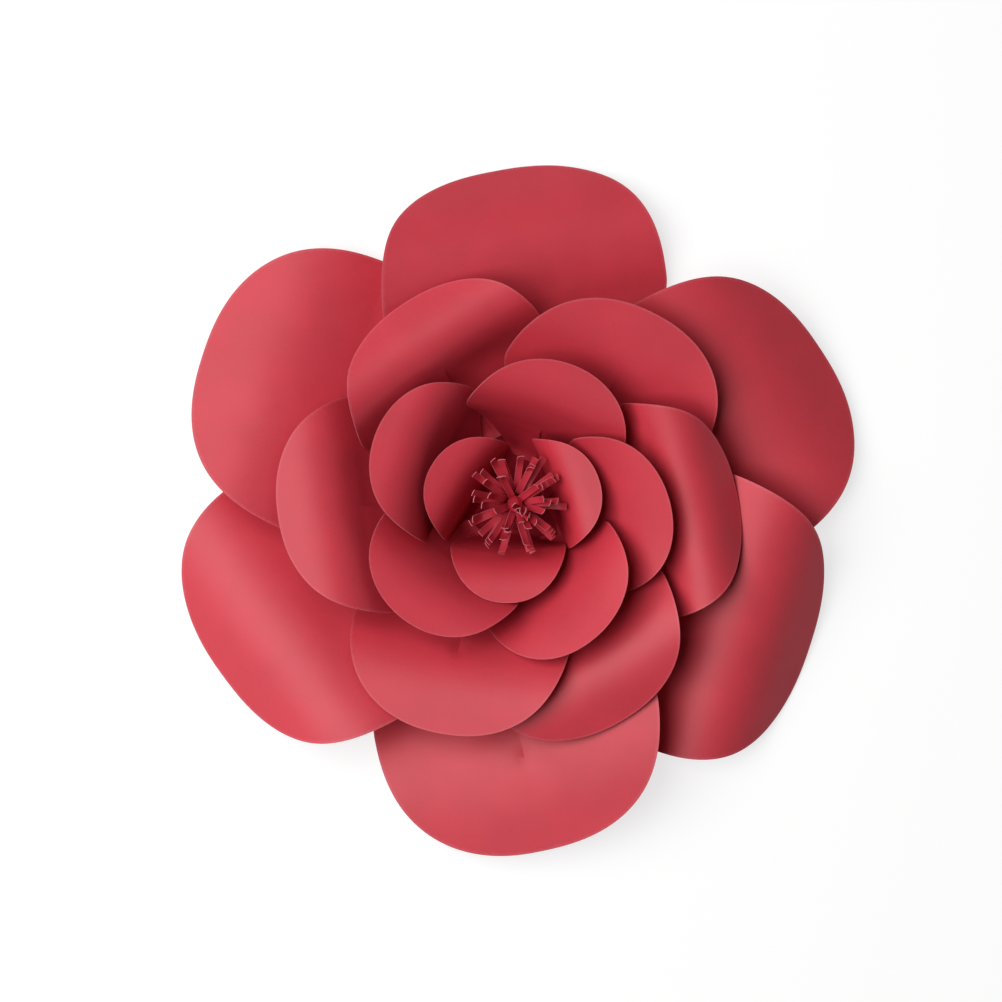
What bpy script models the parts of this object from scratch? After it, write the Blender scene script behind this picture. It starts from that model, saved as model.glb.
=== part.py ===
"""Giant paper flower, built as it is made by hand.

Twenty petals are cut from crimson card in four sizes. Each has a slit in its base, and the two tabs beside
the slit are lapped and glued, which cups the petal. Its outer edge is rolled back. The petals are glued by
their feet to a round backing card, in four rings, each petal lying over the one before it. A strip of the
same card, cut into a fringe and rolled up, fills the middle.

The flower faces up. Its origin is the middle of the backing card's underside, and +Y is its top as it hangs.
"""

import math
import random
from typing import NamedTuple

import bmesh
import bpy
import numpy as np

MM = 0.001

# Card and glued joints, in millimetres
CARD = 0.3
GLUE_GAP = 0.3
BACKING_THICKNESS = 1.0
BACKING_MARGIN = 4.0
BACKING_SIDES = 64

# How every petal is formed, as shares of its own lengths
LEAN_SPAN = 0.45  # of the belly, over which it turns to its lean
CURL_START = 0.10  # of the crown, where the rolled edge starts
CURL_END = 0.85  # of the crown, where it ends
CUP_KEPT = 0.25  # share of the cup that is left at the tip
LAP_SHARE = 0.5  # of a tab's width, over which it keeps to its own layer
MIDLINE_STEPS = 200

# Fringed roll in the middle, in millimetres and degrees
STRIP_COUNT = 60
STRIP_WIDTH = 3.1
STRIP_LENGTH = 22.0
STRIP_ROWS = 4
BAND_HEIGHT = 19.0
ROLL_BORE_RADIUS = 2.2
TURN_GAP = 0.3
BEND_LENGTH = 9.0
BEND_STEPS = 24
FIRST_SPLAY = -12.0
INNER_SPLAY = 8.0
OUTER_SPLAY = 76.0
SPLAY_POWER = 0.8  # below 1, the splay grows faster near the middle
SPLAY_SCATTER = 2.5
YAW_SCATTER = 7.0
FRINGE_SEED = 12

# Colours of the card, and how it reflects
OUTER_RED = (0.50, 0.075, 0.095)
MIDDLE_RED = (0.47, 0.065, 0.085)
SMALL_RED = (0.44, 0.055, 0.075)
INNER_RED = (0.42, 0.050, 0.070)
FRINGE_RED = (0.40, 0.050, 0.065)
BACKING_RED = (0.38, 0.045, 0.060)
CARD_ROUGHNESS = 0.82


class Ring(NamedTuple):
    """One size of petal: its flat pattern, how it is glued on and how it is formed."""

    root_radius: float  # from the flower's axis to the middle of the foot's inner edge
    foot_width: float
    foot_length: float  # glued flat to the backing card
    belly: float  # from the foot's edge to the widest line
    crown: float  # from the widest line to the tip
    width: float
    squareness: float  # exponent of the round end: 2 is an ellipse
    slit: float
    lap: float  # of the two tabs over each other, at the foot
    rise: float  # slope of the lower half
    lean_from: float  # from the foot's edge to where the petal turns to its lean
    twist: float  # lifts the edge that lies over the neighbour
    cup_radius: float
    columns: int
    slit_rows: int
    crown_rows: int
    colour: tuple


class Petal(NamedTuple):
    """How one petal was set by hand, in whole degrees."""

    bearing: float  # of its foot round the flower
    heading: float  # turn of its midline from straight outwards
    lean: float  # slope of the upper half before it rolls back
    curl: float  # how far the outer edge is rolled back
    deeper_slit: float = 0.0  # cut further than the pattern says, in millimetres
    cup_share: float = 1.0  # of its ring's cup that it keeps


RINGS = {
    "outer": Ring(
        root_radius=48,
        foot_width=36,
        foot_length=5,
        belly=47,
        crown=67,
        width=131,
        squareness=2.4,
        slit=50,
        lap=12,
        rise=18,
        lean_from=37,
        twist=10,
        cup_radius=1500,
        columns=10,
        slit_rows=4,
        crown_rows=5,
        colour=OUTER_RED,
    ),
    "middle": Ring(
        root_radius=30,
        foot_width=22,
        foot_length=4,
        belly=41,
        crown=47,
        width=99,
        squareness=2.2,
        slit=50,
        lap=10,
        rise=31,
        lean_from=24,
        twist=8,
        cup_radius=300,
        columns=10,
        slit_rows=4,
        crown_rows=5,
        colour=MIDDLE_RED,
    ),
    "small": Ring(
        root_radius=20,
        foot_width=14,
        foot_length=3,
        belly=33,
        crown=35,
        width=74,
        squareness=2.05,
        slit=28,
        lap=8,
        rise=48,
        lean_from=10,
        twist=9,
        cup_radius=90,
        columns=8,
        slit_rows=3,
        crown_rows=4,
        colour=SMALL_RED,
    ),
    "inner": Ring(
        root_radius=12,
        foot_width=8,
        foot_length=2,
        belly=18,
        crown=30,
        width=52,
        squareness=2.15,
        slit=20,
        lap=5,
        rise=59,
        lean_from=2,
        twist=4,
        cup_radius=140,
        columns=8,
        slit_rows=3,
        crown_rows=4,
        colour=INNER_RED,
    ),
}

PETALS = {
    "outer": {
        "top_left": Petal(138, 22, 18, 32),
        "top": Petal(76, 22, 20, 58),
        "right_top": Petal(11, 21, 15, 40),
        "right_bottom": Petal(-44, 24, 24, 67),
        "bottom": Petal(-101, 22, 12, 20, deeper_slit=22),
        "left_bottom": Petal(-162, 15, 23, 55),
    },
    "middle": {
        "top_left": Petal(115, 4, 58, 86),
        "top_right": Petal(38, 21, 41, 20),
        "right": Petal(-15, 22, 58, 94),
        "bottom_right": Petal(-70, 6, 39, 55),
        "bottom_left": Petal(-122, 18, 37, 37),
        "left": Petal(176, 8, 48, 56),
    },
    "small": {
        "top_left": Petal(150, 4, 59, 54),
        "top": Petal(74, -11, 63, 47, cup_share=0.6),
        "right": Petal(-22, 30, 46, 10),
        "bottom_right": Petal(-71, 16, 48, 13),
        "bottom_left": Petal(-140, 5, 50, 33),
    },
    "inner": {
        "left": Petal(176, -33, 70, 59),
        "right": Petal(15, 0, 78, 67),
        "bottom": Petal(-102, 8, 62, 49),
    },
}

# Fits that follow from the sizes above
LAYER_STEP = CARD + GLUE_GAP
BACKING_TOP = BACKING_THICKNESS + GLUE_GAP
FOOT_HEIGHT = BACKING_TOP + CARD / 2 + LAYER_STEP / 2
BACKING_RADIUS = RINGS["outer"].root_radius + RINGS["outer"].foot_length + BACKING_MARGIN
TURN_PITCH = CARD + TURN_GAP


def ease(x):
    """Smooth step from 0 to 1."""
    x = np.clip(x, 0.0, 1.0)
    return x * x * (3 - 2 * x)


def slope(ring, petal, t):
    """Slope of a petal's midline, in radians, at the distance t from the foot's edge."""
    rise = math.radians(ring.rise) * ease(t / (2 * ring.foot_length))
    lean = math.radians(petal.lean - ring.rise) * ease((t - ring.lean_from) / (LEAN_SPAN * ring.belly))
    crown_share = (t - ring.belly) / ring.crown
    curl = math.radians(petal.curl) * ease((crown_share - CURL_START) / (CURL_END - CURL_START))
    return rise + lean - curl


def midline(ring, petal):
    """Midline of a petal as arrays of distance along it, distance outwards and height."""
    t = np.linspace(0, ring.belly + ring.crown, MIDLINE_STEPS)
    angle = slope(ring, petal, (t[1:] + t[:-1]) / 2)
    out = np.concatenate([[0], np.cumsum(np.cos(angle) * np.diff(t))])
    up = np.concatenate([[0], np.cumsum(np.sin(angle) * np.diff(t))])
    return t, out, up


def flat_point(ring, across, t):
    """Flat pattern: the point across the petal, and along it, of a grid point."""
    if t < ring.belly:
        root = ring.foot_width / 2
        edge = root + (ring.width / 2 - root) * math.sin(math.pi / 2 * t / ring.belly)
        return across * edge, t
    along = (t - ring.belly) / ring.crown
    reach = max(abs(across), along)
    if reach == 0:
        return 0.0, t
    q = ring.squareness
    shrink = reach / (abs(across) ** q + along ** q) ** (1 / q)
    return ring.width / 2 * across * shrink, ring.belly + ring.crown * along * shrink


def lapped(ring, slit, side, across, t, first_row):
    """Slides a tab's inner edge over the other tab, and lifts or lowers it by half a layer."""
    s, along = flat_point(ring, across, t)
    if t >= slit - 1e-6:
        return s, along, 0.0
    edge = flat_point(ring, 1.0, t)[0]
    closed = t / (slit - first_row)
    shift = ring.lap / 2 * (1 - closed) - GLUE_GAP / 2 * closed
    lift = side * LAYER_STEP / 2 * (1 - ease((abs(across) - LAP_SHARE) / (1 - LAP_SHARE)))
    return s * (1 + shift / edge) - side * shift, along, float(lift)


def formed(ring, petal, line, s, t, lift):
    """Point of the flat pattern on the cupped, twisted and rolled petal, glued in its place."""
    out = float(np.interp(t, line[0], line[1]))
    up = float(np.interp(t, line[0], line[2]))
    tilt = float(slope(ring, petal, t))
    fade = 1 - (1 - CUP_KEPT) * ease((t - ring.belly) / ring.crown)
    cup = ease(t / ring.belly) * fade * petal.cup_share / ring.cup_radius
    cup = max(float(cup), 1e-6)
    across = math.sin(cup * s) / cup
    height = (1 - math.cos(cup * s)) / cup + lift
    out -= height * math.sin(tilt)
    up += height * math.cos(tilt)
    mean = math.radians((ring.rise + petal.lean) / 2)
    turn = math.radians(ring.twist) * float(ease(t / ring.belly))
    along = out * math.cos(mean) + up * math.sin(mean)
    off = up * math.cos(mean) - out * math.sin(mean)
    across, off = (across * math.cos(turn) - off * math.sin(turn), across * math.sin(turn) + off * math.cos(turn))
    out = along * math.cos(mean) - off * math.sin(mean)
    up = along * math.sin(mean) + off * math.cos(mean)
    foot = math.radians(petal.bearing)
    way = math.radians(petal.bearing + petal.heading)
    x = ring.root_radius * math.cos(foot) + out * math.cos(way) - across * math.sin(way)
    y = ring.root_radius * math.sin(foot) + out * math.sin(way) + across * math.cos(way)
    return x * MM, y * MM, (up + FOOT_HEIGHT) * MM


def petal_mesh(name, ring, petal):
    """A petal's middle surface: a grid, slit up its centre column and formed."""
    rows = ring.slit_rows + ring.crown_rows
    mesh_edit = bmesh.new()
    bmesh.ops.create_grid(mesh_edit, x_segments=ring.columns, y_segments=rows, size=1.0)
    slit_end = 2 * ring.slit_rows / rows - 1
    slit = [
        edge
        for edge in mesh_edit.edges
        if all(abs(vert.co.x) < 1e-5 and vert.co.y < slit_end + 1e-5 for vert in edge.verts)
    ]
    bmesh.ops.split_edges(mesh_edit, edges=slit)
    line = midline(ring, petal)
    length = ring.belly + ring.crown
    slit_length = ring.slit + petal.deeper_slit
    first_row = slit_length / ring.slit_rows
    spots = []
    for vert in mesh_edit.verts:
        row = (vert.co.y + 1) / 2 * rows
        if row <= ring.slit_rows:
            t = row * first_row
        else:
            t = slit_length + (row - ring.slit_rows) / ring.crown_rows * (length - slit_length)
        side = math.copysign(1.0, sum(face.calc_center_median().x for face in vert.link_faces))
        s, along, lift = lapped(ring, slit_length, side, vert.co.x, min(t, length), first_row)
        spots.append(formed(ring, petal, line, s, along, lift))
    for vert, spot in zip(mesh_edit.verts, spots):
        vert.co = spot
    mesh = bpy.data.meshes.new(name)
    mesh_edit.to_mesh(mesh)
    mesh_edit.free()
    return mesh


def spiral_point(length):
    """Angle and radius of the rolled strip at a length along it, from its inner end."""
    swept = math.sqrt(ROLL_BORE_RADIUS ** 2 + TURN_PITCH * length / math.pi) - ROLL_BORE_RADIUS
    angle = swept * 2 * math.pi / TURN_PITCH
    return angle, ROLL_BORE_RADIUS + swept


def strip_settings():
    """Splay and sideways turn of each cut strip. The innermost leans over the middle, the others outwards."""
    chance = random.Random(FRINGE_SEED)
    settings = []
    for index in range(STRIP_COUNT):
        share = (index + 0.5) / STRIP_COUNT
        splay = INNER_SPLAY + (OUTER_SPLAY - INNER_SPLAY) * share ** SPLAY_POWER
        splay += chance.uniform(-SPLAY_SCATTER, SPLAY_SCATTER)
        if index == 0:
            splay = FIRST_SPLAY
        yaw = chance.uniform(-YAW_SCATTER, YAW_SCATTER)
        settings.append((math.radians(splay), math.radians(yaw)))
    return settings


def strip_point(column, length, splay, yaw, centre):
    """Point of a cut strip at a length above the band, on one of its three columns."""
    angle, radius = spiral_point(centre)
    own_angle, own_radius = spiral_point(column)
    across = own_radius * math.sin(own_angle - angle)
    depth = own_radius * math.cos(own_angle - angle) - radius
    out = 0.0
    up = 0.0
    for step in range(BEND_STEPS):
        bend = splay * float(ease((step + 0.5) / BEND_STEPS * length / BEND_LENGTH))
        out += math.sin(bend) * length / BEND_STEPS
        up += math.cos(bend) * length / BEND_STEPS
    bend = splay * float(ease(length / BEND_LENGTH))
    out += depth * math.cos(bend)
    up -= depth * math.sin(bend)
    across += out * math.sin(yaw)
    out = radius + out * math.cos(yaw)
    x = out * math.cos(angle) - across * math.sin(angle)
    y = out * math.sin(angle) + across * math.cos(angle)
    return x * MM, y * MM, (BACKING_TOP + BAND_HEIGHT + up) * MM


def fringe_mesh(name):
    """The rolled strip's middle surface: a grid whose upper rows are cut into strips."""
    columns = 2 * STRIP_COUNT
    rows = 1 + STRIP_ROWS
    mesh_edit = bmesh.new()
    bmesh.ops.create_grid(mesh_edit, x_segments=columns, y_segments=rows, size=1.0)

    def place(vert):
        return (vert.co.x + 1) / 2 * columns, (vert.co.y + 1) / 2 * rows

    cuts = []
    for edge in mesh_edit.edges:
        (column_a, row_a), (column_b, row_b) = (place(vert) for vert in edge.verts)
        upright = abs(column_a - column_b) < 0.1
        if upright and round(column_a) % 2 == 0 and min(row_a, row_b) > 0.9 and len(edge.link_faces) == 2:
            cuts.append(edge)
    bmesh.ops.split_edges(mesh_edit, edges=cuts)
    settings = strip_settings()
    spots = []
    for vert in mesh_edit.verts:
        column, row = place(vert)
        length = column * STRIP_WIDTH / 2
        if row < 1.1:
            angle, radius = spiral_point(length)
            height = BACKING_TOP + BAND_HEIGHT * round(row)
            spots.append((radius * math.cos(angle) * MM, radius * math.sin(angle) * MM, height * MM))
            continue
        middle = sum((face.calc_center_median().x + 1) / 2 * columns for face in vert.link_faces)
        index = int(middle / len(vert.link_faces) / 2)
        splay, yaw = settings[index]
        centre = (index + 0.5) * STRIP_WIDTH
        spots.append(strip_point(length, (row - 1) / STRIP_ROWS * STRIP_LENGTH, splay, yaw, centre))
    for vert, spot in zip(mesh_edit.verts, spots):
        vert.co = spot
    mesh = bpy.data.meshes.new(name)
    mesh_edit.to_mesh(mesh)
    mesh_edit.free()
    return mesh


def card_material(name, colour):
    """Matt card in one colour."""
    material = bpy.data.materials.new(name + "_card")
    material.use_nodes = True
    shader = material.node_tree.nodes["Principled BSDF"]
    shader.inputs["Base Color"].default_value = (*colour, 1.0)
    shader.inputs["Roughness"].default_value = CARD_ROUGHNESS
    shader.inputs["Metallic"].default_value = 0.0
    return material


def add_part(collection, name, mesh, colour, thickness=None):
    """One named piece, with its own material and, for a sheet, its thickness."""
    part = bpy.data.objects.new(name, mesh)
    mesh.materials.append(card_material(name, colour))
    collection.objects.link(part)
    if thickness:
        sheet = part.modifiers.new("Card", "SOLIDIFY")
        sheet.thickness = thickness * MM
        sheet.offset = 0.0
    return part


def backing_mesh(name):
    """Round backing card, its underside at height 0."""
    mesh_edit = bmesh.new()
    bmesh.ops.create_cone(
        mesh_edit,
        cap_ends=True,
        segments=BACKING_SIDES,
        radius1=BACKING_RADIUS * MM,
        radius2=BACKING_RADIUS * MM,
        depth=BACKING_THICKNESS * MM,
    )
    for vert in mesh_edit.verts:
        vert.co.z += BACKING_THICKNESS / 2 * MM
    mesh = bpy.data.meshes.new(name)
    mesh_edit.to_mesh(mesh)
    mesh_edit.free()
    return mesh


def main():
    for old in list(bpy.data.objects):
        bpy.data.objects.remove(old)
    flower = bpy.data.collections.new("giant_paper_flower")
    bpy.context.scene.collection.children.link(flower)
    add_part(flower, "backing_disc", backing_mesh("backing_disc"), BACKING_RED)
    for ring_name, ring in RINGS.items():
        for place_name, petal in PETALS[ring_name].items():
            name = f"{ring_name}_petal_{place_name}"
            add_part(flower, name, petal_mesh(name, ring, petal), ring.colour, CARD)
    add_part(flower, "fringed_roll", fringe_mesh("fringed_roll"), FRINGE_RED, CARD)


main()
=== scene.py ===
"""Dresses the giant paper flower: rolled card petals, a fringed roll and the studio round them."""

import math
import random
from typing import NamedTuple

import bmesh
import bpy
import numpy as np
from bpy.props import FloatProperty, FloatVectorProperty, IntProperty, PointerProperty
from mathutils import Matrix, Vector, noise


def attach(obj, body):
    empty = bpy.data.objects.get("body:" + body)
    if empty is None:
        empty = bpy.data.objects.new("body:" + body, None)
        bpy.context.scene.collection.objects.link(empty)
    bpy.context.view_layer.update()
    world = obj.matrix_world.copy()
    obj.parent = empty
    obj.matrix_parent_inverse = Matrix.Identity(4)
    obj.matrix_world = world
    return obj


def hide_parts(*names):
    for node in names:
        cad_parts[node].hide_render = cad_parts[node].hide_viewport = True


bl_info = {
    "name": "Giant paper flower",
    "version": (1, 0, 0),
    "blender": (4, 5, 0),
    "location": "3D View > Sidebar > Paper flower",
    "description": "Finishes a giant paper flower: card petals, fringed roll, backing card and studio",
    "category": "Object",
}

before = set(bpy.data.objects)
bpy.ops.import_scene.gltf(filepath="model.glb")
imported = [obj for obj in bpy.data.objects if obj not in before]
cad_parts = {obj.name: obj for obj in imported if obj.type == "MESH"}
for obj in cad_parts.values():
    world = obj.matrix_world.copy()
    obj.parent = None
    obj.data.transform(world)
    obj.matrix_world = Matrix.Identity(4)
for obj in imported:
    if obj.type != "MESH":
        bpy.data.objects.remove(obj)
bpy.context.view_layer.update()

MM = 0.001

# Lengths in mm
LAYER_GAP = 0.3  # glue between two layers of card, and the card's own thickness
HALF_CARD = 0.15
SLIT_GAP = 0.06  # between the closed edges of a slit
BACKING_TOP = 1.3  # height of the backing card's face, with the glue on it

# Shares of a petal
LEAN_SPAN = 0.45  # of the belly, over which it turns to its lean
CURL_START = 0.10  # of the crown, from its lower edge
CURL_END = 0.85
CUP_KEPT = 0.25  # of the belly's cup, at the tip
LAP_SHARE = 0.5  # of the half width, over which a tab is lifted in full
OPEN_SLIT_SHARE = 0.18  # of the slit, at its end, where the edges only meet

# Hand-worked card
WAVE_LENGTHS = (34, 13)  # mm, of the long and the short waves
SHORT_WAVE = 0.4  # height of the short waves to that of the long ones
WAVE_SEED = 0.37  # times a petal's bearing, so that no two petals wave alike
SHORT_WAVE_SEED = 9
LOOSE_FROM = 0.5  # of the belly, below which the glued foot keeps the card flat
LOOSE_SPAN = 0.6  # of the belly, over which the waves grow
PUCKER_BELOW_END = 3.0  # mm from the slit's end down to the deepest point
PUCKER_LENGTH = 5.0  # mm
PUCKER_WIDTH = 2.6  # mm

# Finish and painted shade
CARD_SPECULAR = 0.38
# How far painted shade darkens the card towards a petal's foot, ring by ring, where the rings shade one
# another
FOOT_SHADE_PAINT = {"outer": 0.0, "middle": 0.35, "small": 0.7, "inner": 0.95}
FOOT_SHADE_PAINT_FROM = 1.25  # of the belly, from which the painted shade deepens towards the foot
FOOT_SHADE_PAINT_FULL = 0.45  # of the belly, below which it is as deep as it gets

# The camera's view of the flower
PHOTO_SIZE = 1002
PIXELS_PER_METRE = 2200.0
FLOWER_CENTRE_PIXEL = (515.0, 503.0)


class Ring(NamedTuple):
    """One size of petal: its flat pattern, how it is glued on and how it is formed, in mm and degrees."""

    root_radius: float
    foot_width: float
    foot_length: float
    belly: float
    crown: float
    width: float
    squareness: float
    slit: float
    lap: float
    rise: float
    lean_from: float
    twist: float
    cup_radius: float


class Petal(NamedTuple):
    """How one petal stands, in whole degrees, with its own slit in mm, and shares of cup and pucker.

    The four angles were found by a fitting program, from outline points read off the photograph and
    from its shading.
    """

    bearing: float
    heading: float
    lean: float
    curl: float
    deeper_slit: float = 0.0
    cup_share: float = 1.0
    pucker: float = 0.0


RINGS = {
    "outer": Ring(
        root_radius=48,
        foot_width=36,
        foot_length=5,
        belly=47,
        crown=67,
        width=131,
        squareness=2.4,
        slit=50,
        lap=12,
        rise=18,
        lean_from=37,
        twist=10,
        cup_radius=1500,
    ),
    "middle": Ring(
        root_radius=30,
        foot_width=22,
        foot_length=4,
        belly=41,
        crown=47,
        width=99,
        squareness=2.2,
        slit=50,
        lap=10,
        rise=31,
        lean_from=24,
        twist=8,
        cup_radius=300,
    ),
    "small": Ring(
        root_radius=20,
        foot_width=14,
        foot_length=3,
        belly=33,
        crown=35,
        width=74,
        squareness=2.05,
        slit=28,
        lap=8,
        rise=48,
        lean_from=10,
        twist=9,
        cup_radius=90,
    ),
    "inner": Ring(
        root_radius=12,
        foot_width=8,
        foot_length=2,
        belly=18,
        crown=30,
        width=52,
        squareness=2.15,
        slit=20,
        lap=5,
        rise=59,
        lean_from=2,
        twist=4,
        cup_radius=140,
    ),
}

PETALS = {
    "outer": {
        "top_left": Petal(138, 22, 18, 32),
        "top": Petal(76, 22, 20, 58),
        "right_top": Petal(11, 21, 15, 40),
        "right_bottom": Petal(-44, 24, 24, 67),
        "bottom": Petal(-101, 22, 12, 20, deeper_slit=22, pucker=1.0),
        "left_bottom": Petal(-162, 15, 23, 55),
    },
    "middle": {
        "top_left": Petal(115, 4, 58, 86),
        "top_right": Petal(38, 21, 41, 20),
        "right": Petal(-15, 22, 58, 94),
        "bottom_right": Petal(-70, 6, 39, 55, pucker=0.7),
        "bottom_left": Petal(-122, 18, 37, 37, pucker=0.8),
        "left": Petal(176, 8, 48, 56),
    },
    "small": {
        "top_left": Petal(150, 4, 59, 54),
        "top": Petal(74, -11, 63, 47, deeper_slit=-5, cup_share=0.6),
        "right": Petal(-22, 30, 46, 10),
        "bottom_right": Petal(-71, 16, 48, 13),
        "bottom_left": Petal(-140, 5, 50, 33),
    },
    "inner": {
        "left": Petal(176, -33, 70, 59),
        "right": Petal(15, 0, 78, 67, deeper_slit=-4),
        "bottom": Petal(-102, 8, 62, 49),
    },
}


class CardSettings(bpy.types.PropertyGroup):
    """The card and how it was worked."""

    thickness: FloatProperty(
        name="Card thickness", description="Thickness of the card",
        default=0.0003, unit="LENGTH", precision=5,
    )
    waviness: FloatProperty(
        name="Waviness", description="How far the card strays from its smooth form",
        default=0.00025, unit="LENGTH",
    )
    dimple: FloatProperty(
        name="Slit dimple", description="Depth of the pucker at a slit's end",
        default=0.0012, unit="LENGTH",
    )
    columns: IntProperty(
        name="Columns", description="Faces across a petal, an even number", default=44, min=8
    )
    rows: IntProperty(name="Rows", description="Faces along a petal", default=54, min=8)
    roughness: FloatProperty(
        name="Roughness", description="Roughness of the card's face", default=0.50, subtype="FACTOR"
    )
    tooth: FloatProperty(
        name="Tooth", description="Height of the card's fine tooth",
        default=0.00006, unit="LENGTH", precision=6,
    )


class ColourSettings(bpy.types.PropertyGroup):
    """The card's colours, ring by ring."""

    # Painted shade: the cards get darker and more saturated from the outer ring inwards, and the fringe
    # darkest, for the shade deep in the middle
    outer: FloatVectorProperty(
        name="Outer petals", description="Card of the outer petals",
        default=(0.555, 0.037, 0.057), subtype="COLOR",
    )
    middle: FloatVectorProperty(
        name="Middle petals", description="Card of the middle petals",
        default=(0.550, 0.035, 0.055), subtype="COLOR",
    )
    small: FloatVectorProperty(
        name="Small petals", description="Card of the small petals",
        default=(0.535, 0.032, 0.052), subtype="COLOR",
    )
    inner: FloatVectorProperty(
        name="Inner petals", description="Card of the inner petals",
        default=(0.515, 0.028, 0.047), subtype="COLOR",
    )
    fringe: FloatVectorProperty(
        name="Fringe", description="Card of the fringed roll",
        default=(0.45, 0.022, 0.040), subtype="COLOR",
    )
    # Painted shade: the backing card is near black, so that where it shows between the petals' feet it
    # reads as deep shade
    backing: FloatVectorProperty(
        name="Backing card", description="Card behind the petals",
        default=(0.20, 0.008, 0.015), subtype="COLOR",
    )
    # Painted shade: the dark colour that a petal's card is blended to towards its foot
    foot: FloatVectorProperty(
        name="Painted shade at petal foot", description="Deeper tone of a petal towards its foot",
        default=(0.24, 0.008, 0.016),
        subtype="COLOR",
    )
    cut_edge: FloatVectorProperty(
        name="Cut edge", description="Paler fibres along a cut edge",
        default=(0.66, 0.17, 0.21), subtype="COLOR",
    )


class FringeSettings(bpy.types.PropertyGroup):
    """The strip of card that was cut and rolled up."""

    strips: IntProperty(
        name="Strips", description="Number of strips cut in the fringe", default=60, min=8
    )
    strip_width: FloatProperty(
        name="Strip width", description="Width of one strip", default=0.0031, unit="LENGTH", precision=4
    )
    strip_length: FloatProperty(
        name="Strip length", description="Depth of the cuts", default=0.022, unit="LENGTH", precision=4
    )
    band_height: FloatProperty(
        name="Band height", description="Uncut height below the strips",
        default=0.019, unit="LENGTH", precision=4,
    )
    bore_radius: FloatProperty(
        name="Bore radius", description="Radius of the roll's hollow",
        default=0.0022, unit="LENGTH", precision=4,
    )
    bend_length: FloatProperty(
        name="Bend length", description="Length over which a strip bends",
        default=0.009, unit="LENGTH", precision=4,
    )
    inner_splay: FloatProperty(
        name="Inner splay", description="Lean of the inner strips",
        default=math.radians(36), subtype="ANGLE",
    )
    outer_splay: FloatProperty(
        name="Outer splay", description="Lean of the outer strips",
        default=math.radians(84), subtype="ANGLE",
    )
    crossing_lean: FloatProperty(
        name="Crossing lean", description="Lean of the strips that cross the middle",
        default=math.radians(74),
        subtype="ANGLE",
    )
    crossing_bearing: FloatProperty(
        name="Crossing bearing", description="Side they lean to",
        default=math.radians(-58), subtype="ANGLE",
    )
    strip_twist: FloatProperty(
        name="Strip twist", description="Largest twist of a strip",
        default=math.radians(26), subtype="ANGLE",
    )
    tip_lift: FloatProperty(
        name="Tip lift", description="How far the strips' tips curl up",
        default=math.radians(34), subtype="ANGLE",
    )
    columns: IntProperty(name="Strip columns", description="Faces across one strip", default=2, min=2)
    rows: IntProperty(name="Strip rows", description="Faces along one strip", default=14, min=4)


class StudioSettings(bpy.types.PropertyGroup):
    """The floor, the lamp and the camera."""

    camera_height: FloatProperty(
        name="Camera height", description="Height of the camera over the floor",
        default=1.5, unit="LENGTH",
    )
    key_power: FloatProperty(name="Key power", description="Power of the lamp on the left", default=35.5)
    key_size: FloatProperty(
        name="Key size", description="Width of the lamp on the left", default=1.6, unit="LENGTH"
    )
    key_height: FloatProperty(
        name="Key elevation", description="Its angle over the floor",
        default=math.radians(56), subtype="ANGLE",
    )
    key_bearing: FloatProperty(
        name="Key bearing", description="Its side of the flower",
        default=math.radians(170), subtype="ANGLE",
    )
    key_distance: FloatProperty(
        name="Key distance", description="Its distance from the flower", default=1.6, unit="LENGTH"
    )
    fill: FloatProperty(name="Fill", description="Strength of the light from all round", default=0.02)
    floor_size: FloatProperty(
        name="Floor size", description="Width of the floor", default=6.0, unit="LENGTH"
    )
    floor_white: FloatProperty(
        name="Floor white", description="Strength of the floor's own white", default=1.14
    )
    floor_shade: FloatProperty(
        name="Floor shade", description="How much of its shadow the floor shows",
        default=0.35, subtype="FACTOR",
    )


# Shader nodes as Python expressions


class Wire:
    """A node's output. Arithmetic on it adds Math nodes."""

    def __init__(self, shader, socket):
        self.shader = shader
        self.socket = socket

    def maths(self, operation, first, second):
        node = self.shader.node("ShaderNodeMath", {"operation": operation}, {0: first, 1: second})
        return node["Value"]

    def __add__(self, other):
        return self.maths("ADD", self, other)

    __radd__ = __add__

    def __sub__(self, other):
        return self.maths("SUBTRACT", self, other)

    def __rsub__(self, other):
        return self.maths("SUBTRACT", other, self)

    def __mul__(self, other):
        return self.maths("MULTIPLY", self, other)

    __rmul__ = __mul__


class Outputs:
    """A node whose outputs are read by name as wires."""

    def __init__(self, shader, node):
        self.shader = shader
        self.bpy_node = node

    def __getitem__(self, name):
        return Wire(self.shader, self.bpy_node.outputs[name])


class Shader:
    """A material, or the world, and its node tree."""

    def __init__(self, owner):
        self.owner = owner
        owner.use_nodes = True
        self.tree = owner.node_tree
        self.tree.nodes.clear()

    def node(self, kind, settings=None, inputs=None):
        """Adds a node: its settings first, then a value or a wire for each socket."""
        added = self.tree.nodes.new(kind)
        for name, value in (settings or {}).items():
            setattr(added, name, value)
        for name, value in (inputs or {}).items():
            socket = added.inputs[name]
            if isinstance(value, Wire):
                self.tree.links.new(value.socket, socket)
            else:
                socket.default_value = value
        return Outputs(self, added)

    def mix(self, factor, first, second):
        """Blends two colours."""
        mixer = self.node("ShaderNodeMix", {"data_type": "RGBA"})
        sockets = {socket.identifier: socket for socket in mixer.bpy_node.inputs}
        for identifier, value in (("Factor_Float", factor), ("A_Color", first), ("B_Color", second)):
            if isinstance(value, Wire):
                self.tree.links.new(value.socket, sockets[identifier])
            else:
                sockets[identifier].default_value = value
        result = next(socket for socket in mixer.bpy_node.outputs if socket.identifier == "Result_Color")
        return Wire(self, result)

    def ramp(self, value, low, high):
        """Takes a value from the range low to high to 0 to 1, held at both ends."""
        scaled = self.node(
            "ShaderNodeMapRange",
            {"interpolation_type": "SMOOTHSTEP"},
            {"Value": value, "From Min": low, "From Max": high},
        )
        return scaled["Result"]


def tinted(colour, factor):
    """A colour made lighter or darker, with full alpha."""
    return tuple(min(1.0, channel * factor) for channel in colour) + (1.0,)


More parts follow.
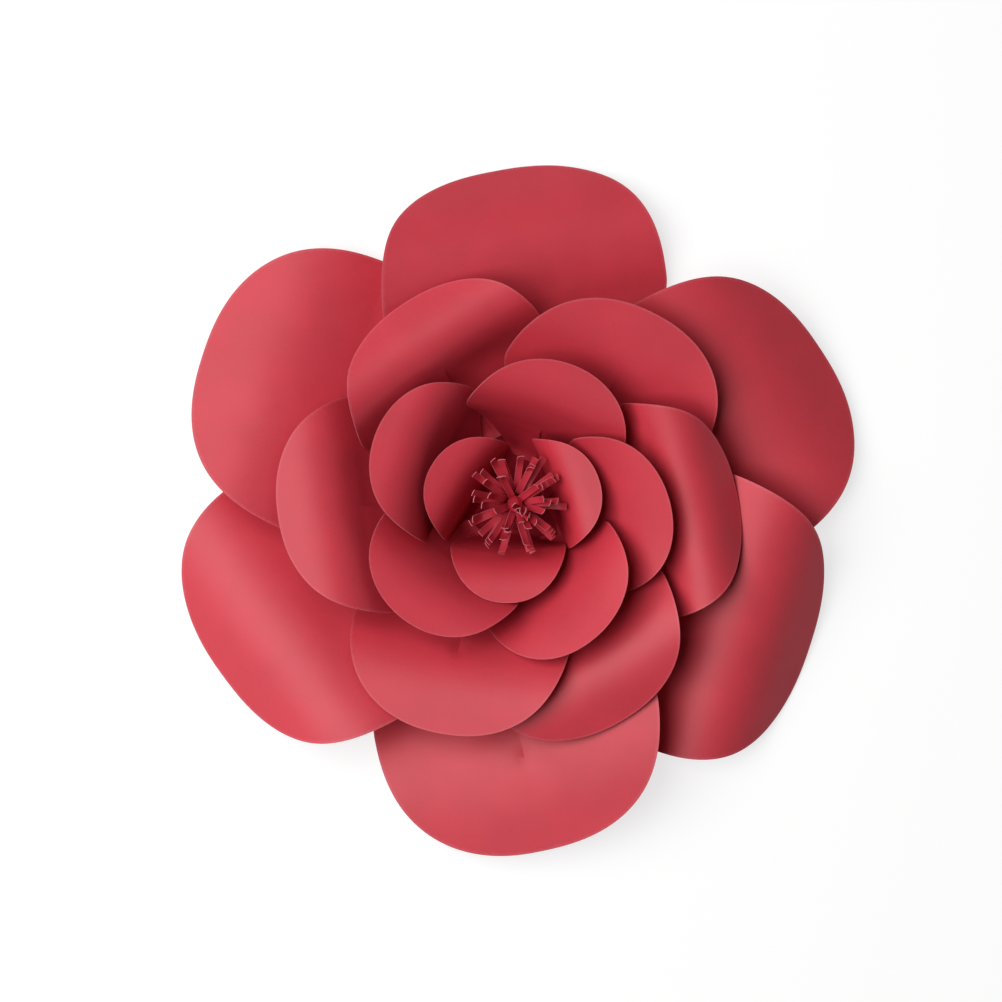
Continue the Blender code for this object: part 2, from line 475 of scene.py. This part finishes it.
def card_material(name, colour, painted_foot_shade=0.0, pale_rim=False, specular=CARD_SPECULAR):
    """Coloured craft card: cloudy tone, fibres and tooth, painted shade towards the foot, and a paler rim:
    cut fibres, partly painted highlight.
    """
    card = bpy.context.scene.paper_card
    edge = bpy.context.scene.paper_colours.cut_edge
    foot_shade_colour = bpy.context.scene.paper_colours.foot
    shader = Shader(bpy.data.materials.new(name))
    place = shader.node("ShaderNodeTexCoord")["Object"]
    clouds = shader.node("ShaderNodeTexNoise", None, {"Vector": place, "Scale": 38.0, "Detail": 3.0})["Fac"]
    fibres = shader.node(
        "ShaderNodeTexNoise", None, {"Vector": place, "Scale": 700.0, "Detail": 6.0, "Roughness": 0.65}
    )["Fac"]
    tooth = shader.node(
        "ShaderNodeTexNoise", None, {"Vector": place, "Scale": 2600.0, "Detail": 3.0}
    )["Fac"]
    tone = shader.ramp(clouds, 0.30, 0.70)
    base = shader.mix(tone, tinted(colour, 0.95), tinted(colour, 1.05))
    flecks = shader.ramp(fibres, 0.35, 0.75)
    base = shader.mix(flecks * 0.14, base, tinted(colour, 1.35))
    # Painted shade: the card darkens towards each petal's foot, in the recess where the rings overlap
    if painted_foot_shade:
        reach = shader.node("ShaderNodeAttribute", {"attribute_name": "reach"})["Fac"]
        depth = (1 - shader.ramp(reach, FOOT_SHADE_PAINT_FULL, FOOT_SHADE_PAINT_FROM)) * painted_foot_shade
        base = shader.mix(depth, base, (*foot_shade_colour, 1.0))
    # A paler band along the rim: the card's paler cut fibres, and partly a painted highlight of lit edges.
    if pale_rim:
        rim = shader.node("ShaderNodeAttribute", {"attribute_name": "rim"})["Fac"]
        pale_band = shader.ramp(rim + (fibres - 0.5) * 0.04, 0.975, 1.0)
        base = shader.mix(pale_band * 0.25, base, (*edge, 1.0))
    roughness = card.roughness + (fibres - 0.5) * 0.12
    bump = shader.node(
        "ShaderNodeBump",
        None,
        {"Strength": 0.6, "Distance": card.tooth, "Height": fibres * 0.6 + tooth * 0.4},
    )["Normal"]
    surface = shader.node(
        "ShaderNodeBsdfPrincipled",
        None,
        {
            "Base Color": base,
            "Roughness": roughness,
            "Normal": bump,
            "Specular IOR Level": specular,
            "IOR": 1.5,
        },
    )["BSDF"]
    # The painted shade also takes the card's gloss away towards the foot.
    if painted_foot_shade:
        matt = shader.node(
            "ShaderNodeBsdfPrincipled",
            None,
            {"Base Color": base, "Roughness": 0.9, "Specular IOR Level": 0.0},
        )["BSDF"]
        surface = shader.node("ShaderNodeMixShader", None, {0: depth, 1: surface, 2: matt})["Shader"]
    shader.node("ShaderNodeOutputMaterial", None, {"Surface": surface})
    return shader.owner


def edge_material():
    """The paler, rougher fibres of a cut edge."""
    colour = bpy.context.scene.paper_colours.cut_edge
    shader = Shader(bpy.data.materials.new("cut edge"))
    place = shader.node("ShaderNodeTexCoord")["Object"]
    fibres = shader.node(
        "ShaderNodeTexNoise", None, {"Vector": place, "Scale": 1500.0, "Detail": 4.0}
    )["Fac"]
    base = shader.mix(shader.ramp(fibres, 0.3, 0.7), tinted(colour, 0.85), tinted(colour, 1.1))
    bump = shader.node(
        "ShaderNodeBump", None, {"Strength": 0.5, "Distance": 0.00004, "Height": fibres}
    )["Normal"]
    roughness = 0.8 + (fibres - 0.5) * 0.1
    surface = shader.node(
        "ShaderNodeBsdfPrincipled", None, {"Base Color": base, "Roughness": roughness, "Normal": bump}
    )
    shader.node("ShaderNodeOutputMaterial", None, {"Surface": surface["BSDF"]})
    return shader.owner


# Forming the card


def ease(x):
    """Smooth step from 0 to 1."""
    x = np.clip(x, 0.0, 1.0)
    return x * x * (3 - 2 * x)


def slope(ring, petal, t):
    """Slope of a petal's midline, in radians, at the distance t from the foot's edge."""
    rise = math.radians(ring.rise) * ease(t / (2 * ring.foot_length))
    lean = math.radians(petal.lean - ring.rise) * ease((t - ring.lean_from) / (LEAN_SPAN * ring.belly))
    crown_share = (t - ring.belly) / ring.crown
    curl = math.radians(petal.curl) * ease((crown_share - CURL_START) / (CURL_END - CURL_START))
    return rise + lean - curl


def midline(ring, petal):
    """Midline of a petal as arrays of distance along it, distance outwards and height."""
    t = np.linspace(0, ring.belly + ring.crown, 200)
    angle = slope(ring, petal, (t[1:] + t[:-1]) / 2)
    out = np.concatenate([[0], np.cumsum(np.cos(angle) * np.diff(t))])
    up = np.concatenate([[0], np.cumsum(np.sin(angle) * np.diff(t))])
    return t, out, up


def flat_point(ring, across, t):
    """Flat pattern: the point across the petal, and along it, of a grid point."""
    if t < ring.belly:
        root = ring.foot_width / 2
        edge = root + (ring.width / 2 - root) * math.sin(math.pi / 2 * t / ring.belly)
        return across * edge, t
    along = (t - ring.belly) / ring.crown
    reach = max(abs(across), along)
    if reach == 0:
        return 0.0, t
    q = ring.squareness
    shrink = reach / (abs(across) ** q + along ** q) ** (1 / q)
    return ring.width / 2 * across * shrink, ring.belly + ring.crown * along * shrink


def lapped(ring, slit, side, across, t):
    """Slides one tab over the other, and lifts or lowers it so that card and glue fit between them."""
    s, along = flat_point(ring, across, t)
    if t >= slit - 1e-6:
        return s, along, 0.0
    open_length = OPEN_SLIT_SHARE * slit
    edge = flat_point(ring, 1.0, t)[0]
    closed = t / (slit - open_length)
    if closed < 1:
        shift = ring.lap / 2 * (1 - closed) - SLIT_GAP / 2 * closed
    else:
        shift = -SLIT_GAP / 2 * (slit - t) / open_length
    step = LAYER_GAP * float(ease((slit - t) / open_length))
    lift = side * step * (1 - ease((abs(across) - LAP_SHARE) / (1 - LAP_SHARE)))
    return s * (1 + shift / edge) - side * shift, along, float(lift)


def formed(ring, petal, line, s, t, lift):
    """Point of the flat pattern on the cupped, twisted and rolled petal, glued in its place."""
    out = float(np.interp(t, line[0], line[1]))
    up = float(np.interp(t, line[0], line[2]))
    tilt = float(slope(ring, petal, t))
    fade = 1 - (1 - CUP_KEPT) * ease((t - ring.belly) / ring.crown)
    cup = ease(t / ring.belly) * fade * petal.cup_share / ring.cup_radius
    cup = max(float(cup), 1e-6)
    across = math.sin(cup * s) / cup
    height = (1 - math.cos(cup * s)) / cup + lift
    out -= height * math.sin(tilt)
    up += height * math.cos(tilt)
    mean = math.radians((ring.rise + petal.lean) / 2)
    turn = math.radians(ring.twist) * float(ease(t / ring.belly))
    along = out * math.cos(mean) + up * math.sin(mean)
    off = up * math.cos(mean) - out * math.sin(mean)
    across, off = (
        across * math.cos(turn) - off * math.sin(turn),
        across * math.sin(turn) + off * math.cos(turn),
    )
    out = along * math.cos(mean) - off * math.sin(mean)
    up = along * math.sin(mean) + off * math.cos(mean)
    foot = math.radians(petal.bearing)
    way = math.radians(petal.bearing + petal.heading)
    x = ring.root_radius * math.cos(foot) + out * math.cos(way) - across * math.sin(way)
    y = ring.root_radius * math.sin(foot) + out * math.sin(way) + across * math.cos(way)
    foot_height = BACKING_TOP + HALF_CARD + LAYER_GAP
    return Vector((x, y, up + foot_height)) * MM


def hand_worked(ring, petal, slit, s, t):
    """Small departures of hand-worked card: long waves and the pucker at the slit's end."""
    card = bpy.context.scene.paper_card
    seed = petal.bearing * WAVE_SEED
    loose = float(ease((t / ring.belly - LOOSE_FROM) / LOOSE_SPAN))
    long, short = WAVE_LENGTHS
    wave = noise.noise(Vector((s / long, t / long, seed)))
    wave += SHORT_WAVE * noise.noise(Vector((s / short, t / short, seed + SHORT_WAVE_SEED)))
    lift = loose * wave * card.waviness / MM * ring.width / RINGS["outer"].width
    before_end = (t - slit + PUCKER_BELOW_END) / PUCKER_LENGTH
    lift -= petal.pucker * card.dimple / MM * math.exp(-before_end ** 2 - (s / PUCKER_WIDTH) ** 2)
    return lift


def solid_sheet(name, edit, thickness, face_material, rim_material):
    """Gives an open sheet its thickness and its two finishes, and lists it as a piece."""
    mesh = bpy.data.meshes.new(name)
    edit.to_mesh(mesh)
    edit.free()
    sheet = bpy.data.objects.new(name, mesh)
    bpy.context.scene.collection.objects.link(sheet)
    mesh.materials.append(face_material)
    mesh.materials.append(rim_material)
    solid = sheet.modifiers.new("Card", "SOLIDIFY")
    solid.thickness = thickness
    solid.offset = 0.0
    solid.material_offset_rim = 1
    bpy.context.view_layer.update()
    evaluated = sheet.evaluated_get(bpy.context.evaluated_depsgraph_get())
    finished = bpy.data.meshes.new_from_object(evaluated)
    sheet.modifiers.clear()
    sheet.data = finished
    finished.name = name
    finished.shade_smooth()
    finished.set_sharp_from_angle(angle=math.radians(50))
    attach(sheet, "root")
    return sheet


def petal_sheet(ring_name, place_name, face_material, rim_material):
    """One petal: a fine grid, slit, formed and given its thickness."""
    card = bpy.context.scene.paper_card
    ring = RINGS[ring_name]
    petal = PETALS[ring_name][place_name]
    line = midline(ring, petal)
    length = ring.belly + ring.crown
    slit_length = ring.slit + petal.deeper_slit
    slit_rows = round(card.rows * slit_length / length)
    crown_rows = card.rows - slit_rows
    edit = bmesh.new()
    bmesh.ops.create_grid(edit, x_segments=card.columns, y_segments=card.rows, size=1.0)
    slit_end = 2 * slit_rows / card.rows - 1
    slit = [
        edge
        for edge in edit.edges
        if all(abs(vert.co.x) < 1e-5 and vert.co.y < slit_end + 1e-5 for vert in edge.verts)
    ]
    bmesh.ops.split_edges(edit, edges=slit)
    rim_layer = edit.verts.layers.float.new("rim")
    reach_layer = edit.verts.layers.float.new("reach")
    spots = []
    for vert in edit.verts:
        row = (vert.co.y + 1) / 2 * card.rows
        if row <= slit_rows:
            t = row * slit_length / slit_rows
        else:
            t = slit_length + (row - slit_rows) / crown_rows * (length - slit_length)
        t = min(t, length)
        side = math.copysign(1.0, sum(face.calc_center_median().x for face in vert.link_faces))
        s, along, lift = lapped(ring, slit_length, side, vert.co.x, t)
        lift += hand_worked(ring, petal, slit_length, s, along)
        spots.append(formed(ring, petal, line, s, along, lift))
        vert[rim_layer] = max(abs(vert.co.x), (t - ring.belly) / ring.crown)
        vert[reach_layer] = t / ring.belly
    for vert, spot in zip(edit.verts, spots):
        vert.co = spot
    name = f"{ring_name}_petal_{place_name}_card"
    sheet = solid_sheet(name, edit, card.thickness, face_material, rim_material)
    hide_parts(f"{ring_name}_petal_{place_name}")
    return sheet


# Rolling the fringe

# The strips' fans, in degrees round the roll
FAN_BEARINGS = (2, 33, 47, 63, 85, 106, 123, 142, 170, 188, 206, 220, 233, 247, 285, 303, 322, 340)
FAN_PULL = 0.8  # of the turn towards its fan that the outermost strip makes
FAN_PULL_POWER = 0.3  # how the turn grows from the innermost strip out
STRAY_YAW = 5.0  # degrees to either side
SPLAY_POWER = 0.9  # how the splay grows from the innermost strip out
STRAY_SPLAY = (-22.0, 16.0)  # degrees, of the innermost strips
STRAY_LOST = 0.6  # share of it that the outermost strips lack
CROSSING_STRIPS = 17  # the innermost strips, of which some cross the middle
CROSSING_CHANCE = 0.6
CROSSING_EASED = 0.72  # share of the crossing lean that the last of them lacks
CROSSING_PULL = 0.5  # of the turn towards the side they lean to
RAISED_SIDE = 178  # degrees; the tips on this side curl up the most
RAISED_POWER = 6  # how narrow that side is
TIP_LIFTS = (0.2, 1.3)  # of the tip lift, from the flattest to the most curled tip
TIP_STARTS = (0.55, 0.78)  # of a strip's length, from its root to where its tip starts to curl
RAISED_START = 0.15  # of a strip's length, by which the raised tips start sooner
TIP_LENGTH = 5.0  # mm over which a tip curls
BEND_STEPS = 30  # in which a strip's bend is summed up


def spiral_point(length):
    """Angle and radius of the rolled strip at a length along it, from its inner end, in mm."""
    bore = bpy.context.scene.paper_fringe.bore_radius / MM
    pitch = 2 * LAYER_GAP
    swept = math.sqrt(bore ** 2 + pitch * length / math.pi) - bore
    return swept * 2 * math.pi / pitch, bore + swept


def strip_settings():
    """Splay, sideways turn, twist, tip lift and where it starts, of each cut strip.

    The strips gather in fans round the roll, and a few of the innermost cross over its middle.
    """
    fringe = bpy.context.scene.paper_fringe
    chance = random.Random(12)
    settings = []
    for index in range(fringe.strips):
        share = (index + 0.5) / fringe.strips
        angle = spiral_point((index + 0.5) * fringe.strip_width / MM)[0]
        turns = [math.remainder(math.radians(fan) - angle, 2 * math.pi) for fan in FAN_BEARINGS]
        yaw = min(turns, key=abs) * FAN_PULL * share ** FAN_PULL_POWER
        yaw += math.radians(chance.uniform(-STRAY_YAW, STRAY_YAW))
        splay = fringe.inner_splay + (fringe.outer_splay - fringe.inner_splay) * share ** SPLAY_POWER
        splay += math.radians(chance.uniform(*STRAY_SPLAY)) * (1 - STRAY_LOST * share)
        far_side = math.cos(angle - fringe.crossing_bearing) < 0
        if index < CROSSING_STRIPS and far_side and chance.random() < CROSSING_CHANCE:
            splay = -fringe.crossing_lean * (1 - CROSSING_EASED * index / CROSSING_STRIPS)
            yaw += CROSSING_PULL * math.remainder(fringe.crossing_bearing - angle - math.pi, 2 * math.pi)
        raised = max(0.0, math.cos(angle + yaw - math.radians(RAISED_SIDE))) ** RAISED_POWER
        lift = math.copysign(fringe.tip_lift, splay) * chance.uniform(*TIP_LIFTS) * (1 + raised)
        lift_at = (chance.uniform(*TIP_STARTS) - RAISED_START * raised) * fringe.strip_length / MM
        twist = chance.uniform(-1.0, 1.0) * fringe.strip_twist
        settings.append((splay, yaw, twist, lift, lift_at))
    return settings


def strip_bend(setting, length):
    """How far a strip has bent over at a length above the band."""
    splay, _, _, lift, lift_at = setting
    bend_length = bpy.context.scene.paper_fringe.bend_length / MM
    return splay * float(ease(length / bend_length)) - lift * float(ease((length - lift_at) / TIP_LENGTH))


def strip_point(column, length, setting, centre):
    """Point of a cut strip at a length above the band."""
    fringe = bpy.context.scene.paper_fringe
    angle, radius = spiral_point(centre)
    own_angle, own_radius = spiral_point(column)
    across = own_radius * math.sin(own_angle - angle)
    depth = own_radius * math.cos(own_angle - angle) - radius
    out = 0.0
    up = 0.0
    for step in range(BEND_STEPS):
        bend = strip_bend(setting, (step + 0.5) / BEND_STEPS * length)
        out += math.sin(bend) * length / BEND_STEPS
        up += math.cos(bend) * length / BEND_STEPS
    bend = strip_bend(setting, length)
    yaw, twist = setting[1:3]
    turned = twist * float(ease(length * MM / fringe.strip_length))
    across, depth = (
        across * math.cos(turned) - depth * math.sin(turned),
        across * math.sin(turned) + depth * math.cos(turned),
    )
    out += depth * math.cos(bend)
    up -= depth * math.sin(bend)
    across += out * math.sin(yaw)
    out = radius + out * math.cos(yaw)
    x = out * math.cos(angle) - across * math.sin(angle)
    y = out * math.sin(angle) + across * math.cos(angle)
    return Vector((x, y, BACKING_TOP + fringe.band_height / MM + up)) * MM


def fringe_sheet(face_material, rim_material):
    """The rolled strip: a grid whose upper rows are cut into strips, rolled up and splayed."""
    fringe = bpy.context.scene.paper_fringe
    card = bpy.context.scene.paper_card
    columns = fringe.columns * fringe.strips
    rows = 1 + fringe.rows
    width = fringe.strip_width / MM
    edit = bmesh.new()
    bmesh.ops.create_grid(edit, x_segments=columns, y_segments=rows, size=1.0)
    cuts = []
    for edge in edit.edges:
        first, second = edge.verts
        upright = abs(first.co.x - second.co.x) < 1e-5
        column = round((first.co.x + 1) / 2 * columns)
        row = (min(first.co.y, second.co.y) + 1) / 2 * rows
        if upright and column % fringe.columns == 0 and row > 0.9 and len(edge.link_faces) == 2:
            cuts.append(edge)
    bmesh.ops.split_edges(edit, edges=cuts)
    settings = strip_settings()
    spots = []
    for vert in edit.verts:
        length = (vert.co.x + 1) / 2 * fringe.strips * width
        row = (vert.co.y + 1) / 2 * rows
        if row < 1.1:
            angle, radius = spiral_point(length)
            height = BACKING_TOP + fringe.band_height / MM * round(row)
            spots.append(Vector((radius * math.cos(angle), radius * math.sin(angle), height)) * MM)
            continue
        middle = sum((face.calc_center_median().x + 1) / 2 * fringe.strips for face in vert.link_faces)
        index = int(middle / len(vert.link_faces))
        above = (row - 1) / fringe.rows * fringe.strip_length / MM
        spots.append(strip_point(length, above, settings[index], (index + 0.5) * width))
    for vert, spot in zip(edit.verts, spots):
        vert.co = spot
    name = "fringed_roll_card"
    sheet = solid_sheet(name, edit, card.thickness, face_material, rim_material)
    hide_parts("fringed_roll")
    return sheet


class PetalRingOperator:
    """Shared by the operators that add one ring of petals."""

    bl_options = {"REGISTER", "UNDO"}
    ring_name = ""

    def execute(self, context):
        colour = tuple(getattr(context.scene.paper_colours, self.ring_name))
        painted_foot_shade = FOOT_SHADE_PAINT[self.ring_name]
        face = card_material(f"{self.ring_name} petal card", colour, painted_foot_shade, pale_rim=True)
        rim = bpy.data.materials.get("cut edge") or edge_material()
        for place_name in PETALS[self.ring_name]:
            petal_sheet(self.ring_name, place_name, face, rim)
        return {"FINISHED"}


class FLOWER_OT_outer_petals(PetalRingOperator, bpy.types.Operator):
    """Add the six wide outer petals"""

    bl_idname = "paper_flower.outer_petals"
    bl_label = "Outer petals"
    ring_name = "outer"


class FLOWER_OT_middle_petals(PetalRingOperator, bpy.types.Operator):
    """Add the six middle petals"""

    bl_idname = "paper_flower.middle_petals"
    bl_label = "Middle petals"
    ring_name = "middle"


class FLOWER_OT_small_petals(PetalRingOperator, bpy.types.Operator):
    """Add the five small petals"""

    bl_idname = "paper_flower.small_petals"
    bl_label = "Small petals"
    ring_name = "small"


class FLOWER_OT_inner_petals(PetalRingOperator, bpy.types.Operator):
    """Add the three inner petals"""

    bl_idname = "paper_flower.inner_petals"
    bl_label = "Inner petals"
    ring_name = "inner"


class FLOWER_OT_fringed_roll(bpy.types.Operator):
    """Add the fringed roll in the middle"""

    bl_idname = "paper_flower.fringed_roll"
    bl_label = "Fringed roll"
    bl_options = {"REGISTER", "UNDO"}

    def execute(self, context):
        face = card_material("fringe card", tuple(context.scene.paper_colours.fringe))
        fringe_sheet(face, bpy.data.materials.get("cut edge") or edge_material())
        return {"FINISHED"}


class FLOWER_OT_backing_disc(bpy.types.Operator):
    """Finish the backing card that the petals are glued to, near black and without gloss as painted shade
    """

    bl_idname = "paper_flower.backing_disc"
    bl_label = "Backing card"
    bl_options = {"REGISTER", "UNDO"}

    def execute(self, context):
        # Painted shade: near black and without gloss, as the deep shade between the petals' feet.
        material = card_material("backing card", tuple(context.scene.paper_colours.backing), specular=0.0)
        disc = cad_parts["backing_disc"]
        disc.data.materials.clear()
        disc.data.materials.append(material)
        return {"FINISHED"}


def studio_floor(studio):
    """Adds the white floor, which shows a soft shadow."""
    edit = bmesh.new()
    bmesh.ops.create_grid(edit, x_segments=1, y_segments=1, size=studio.floor_size / 2)
    mesh = bpy.data.meshes.new("floor")
    edit.to_mesh(mesh)
    edit.free()
    floor = bpy.data.objects.new("floor", mesh)
    bpy.context.scene.collection.objects.link(floor)
    shader = Shader(bpy.data.materials.new("floor"))
    path = shader.node("ShaderNodeLightPath")
    seen = path["Is Camera Ray"] + path["Is Glossy Ray"] + path["Is Transmission Ray"]
    matt = shader.node("ShaderNodeBsdfDiffuse", None, {"Color": (0.9, 0.9, 0.9, 1.0)})
    white = shader.node(
        "ShaderNodeEmission", None, {"Color": (1.0, 1.0, 1.0, 1.0), "Strength": studio.floor_white}
    )
    share = shader.ramp(seen, 0.0, 1.0) * (1 - studio.floor_shade)
    surface = shader.node("ShaderNodeMixShader", None, {0: share, 1: matt["BSDF"], 2: white["Emission"]})
    shader.node("ShaderNodeOutputMaterial", None, {"Surface": surface["Shader"]})
    mesh.materials.append(shader.owner)


def studio_lights(studio):
    """Adds one large soft lamp on the left, and even light from all round."""
    lamp = bpy.data.lights.new("key", "AREA")
    lamp.shape = "SQUARE"
    lamp.size = studio.key_size
    lamp.energy = studio.key_power
    key = bpy.data.objects.new("key", lamp)
    across = studio.key_distance * math.cos(studio.key_height)
    key.location = (
        across * math.cos(studio.key_bearing),
        across * math.sin(studio.key_bearing),
        studio.key_distance * math.sin(studio.key_height),
    )
    key.rotation_euler = (-key.location).to_track_quat("-Z", "Y").to_euler()
    bpy.context.scene.collection.objects.link(key)
    world = bpy.data.worlds.new("studio")
    bpy.context.scene.world = world
    shader = Shader(world)
    path = shader.node("ShaderNodeLightPath")
    seen = path["Is Camera Ray"] + path["Is Glossy Ray"] + path["Is Transmission Ray"]
    seen = shader.ramp(seen, 0.0, 1.0)
    strength = studio.fill + seen * (1.0 - studio.fill)
    sky = shader.node("ShaderNodeBackground", None, {"Color": (1.0, 1.0, 1.0, 1.0), "Strength": strength})
    shader.node("ShaderNodeOutputWorld", None, {"Surface": sky["Background"]})


def studio_camera(studio):
    """Looks straight down on the flower, framed as in the photograph."""
    camera = bpy.data.cameras.new("camera")
    camera.sensor_fit = "HORIZONTAL"
    width = PHOTO_SIZE / PIXELS_PER_METRE
    camera.angle = 2 * math.atan(width / 2 / studio.camera_height)
    eye = bpy.data.objects.new("camera", camera)
    middle = PHOTO_SIZE / 2
    eye.location = (
        (middle - FLOWER_CENTRE_PIXEL[0]) / PIXELS_PER_METRE,
        (FLOWER_CENTRE_PIXEL[1] - middle) / PIXELS_PER_METRE,
        studio.camera_height,
    )
    bpy.context.scene.collection.objects.link(eye)
    bpy.context.scene.camera = eye


class FLOWER_OT_studio(bpy.types.Operator):
    """Add the floor, the lamp and the camera"""

    bl_idname = "paper_flower.studio"
    bl_label = "Studio"
    bl_options = {"REGISTER", "UNDO"}

    def execute(self, context):
        studio = context.scene.paper_studio
        studio_floor(studio)
        studio_lights(studio)
        studio_camera(studio)
        context.scene.view_settings.view_transform = "Standard"
        return {"FINISHED"}


OPERATORS = (
    FLOWER_OT_outer_petals,
    FLOWER_OT_middle_petals,
    FLOWER_OT_small_petals,
    FLOWER_OT_inner_petals,
    FLOWER_OT_fringed_roll,
    FLOWER_OT_backing_disc,
    FLOWER_OT_studio,
)

SETTINGS = {
    "paper_card": CardSettings,
    "paper_colours": ColourSettings,
    "paper_fringe": FringeSettings,
    "paper_studio": StudioSettings,
}


class FLOWER_PT_panel(bpy.types.Panel):
    """Lists the steps that finish the flower"""

    bl_idname = "FLOWER_PT_panel"
    bl_label = "Giant paper flower"
    bl_space_type = "VIEW_3D"
    bl_region_type = "UI"
    bl_category = "Paper flower"

    def draw(self, context):
        for name, group in SETTINGS.items():
            box = self.layout.box()
            settings = getattr(context.scene, name)
            for key in group.__annotations__:
                box.prop(settings, key)
        for operator in OPERATORS:
            self.layout.operator(operator.bl_idname)


def register():
    for group in SETTINGS.values():
        bpy.utils.register_class(group)
    for name, group in SETTINGS.items():
        setattr(bpy.types.Scene, name, PointerProperty(type=group))
    for operator in OPERATORS:
        bpy.utils.register_class(operator)
    bpy.utils.register_class(FLOWER_PT_panel)


def unregister():
    bpy.utils.unregister_class(FLOWER_PT_panel)
    for operator in reversed(OPERATORS):
        bpy.utils.unregister_class(operator)
    for name in SETTINGS:
        delattr(bpy.types.Scene, name)
    for group in reversed(list(SETTINGS.values())):
        bpy.utils.unregister_class(group)


def main():
    register()
    bpy.ops.paper_flower.outer_petals()
    bpy.ops.paper_flower.middle_petals()
    bpy.ops.paper_flower.small_petals()
    bpy.ops.paper_flower.inner_petals()
    bpy.ops.paper_flower.fringed_roll()
    bpy.ops.paper_flower.backing_disc()
    bpy.ops.paper_flower.studio()


if __name__ == "__main__":
    main()
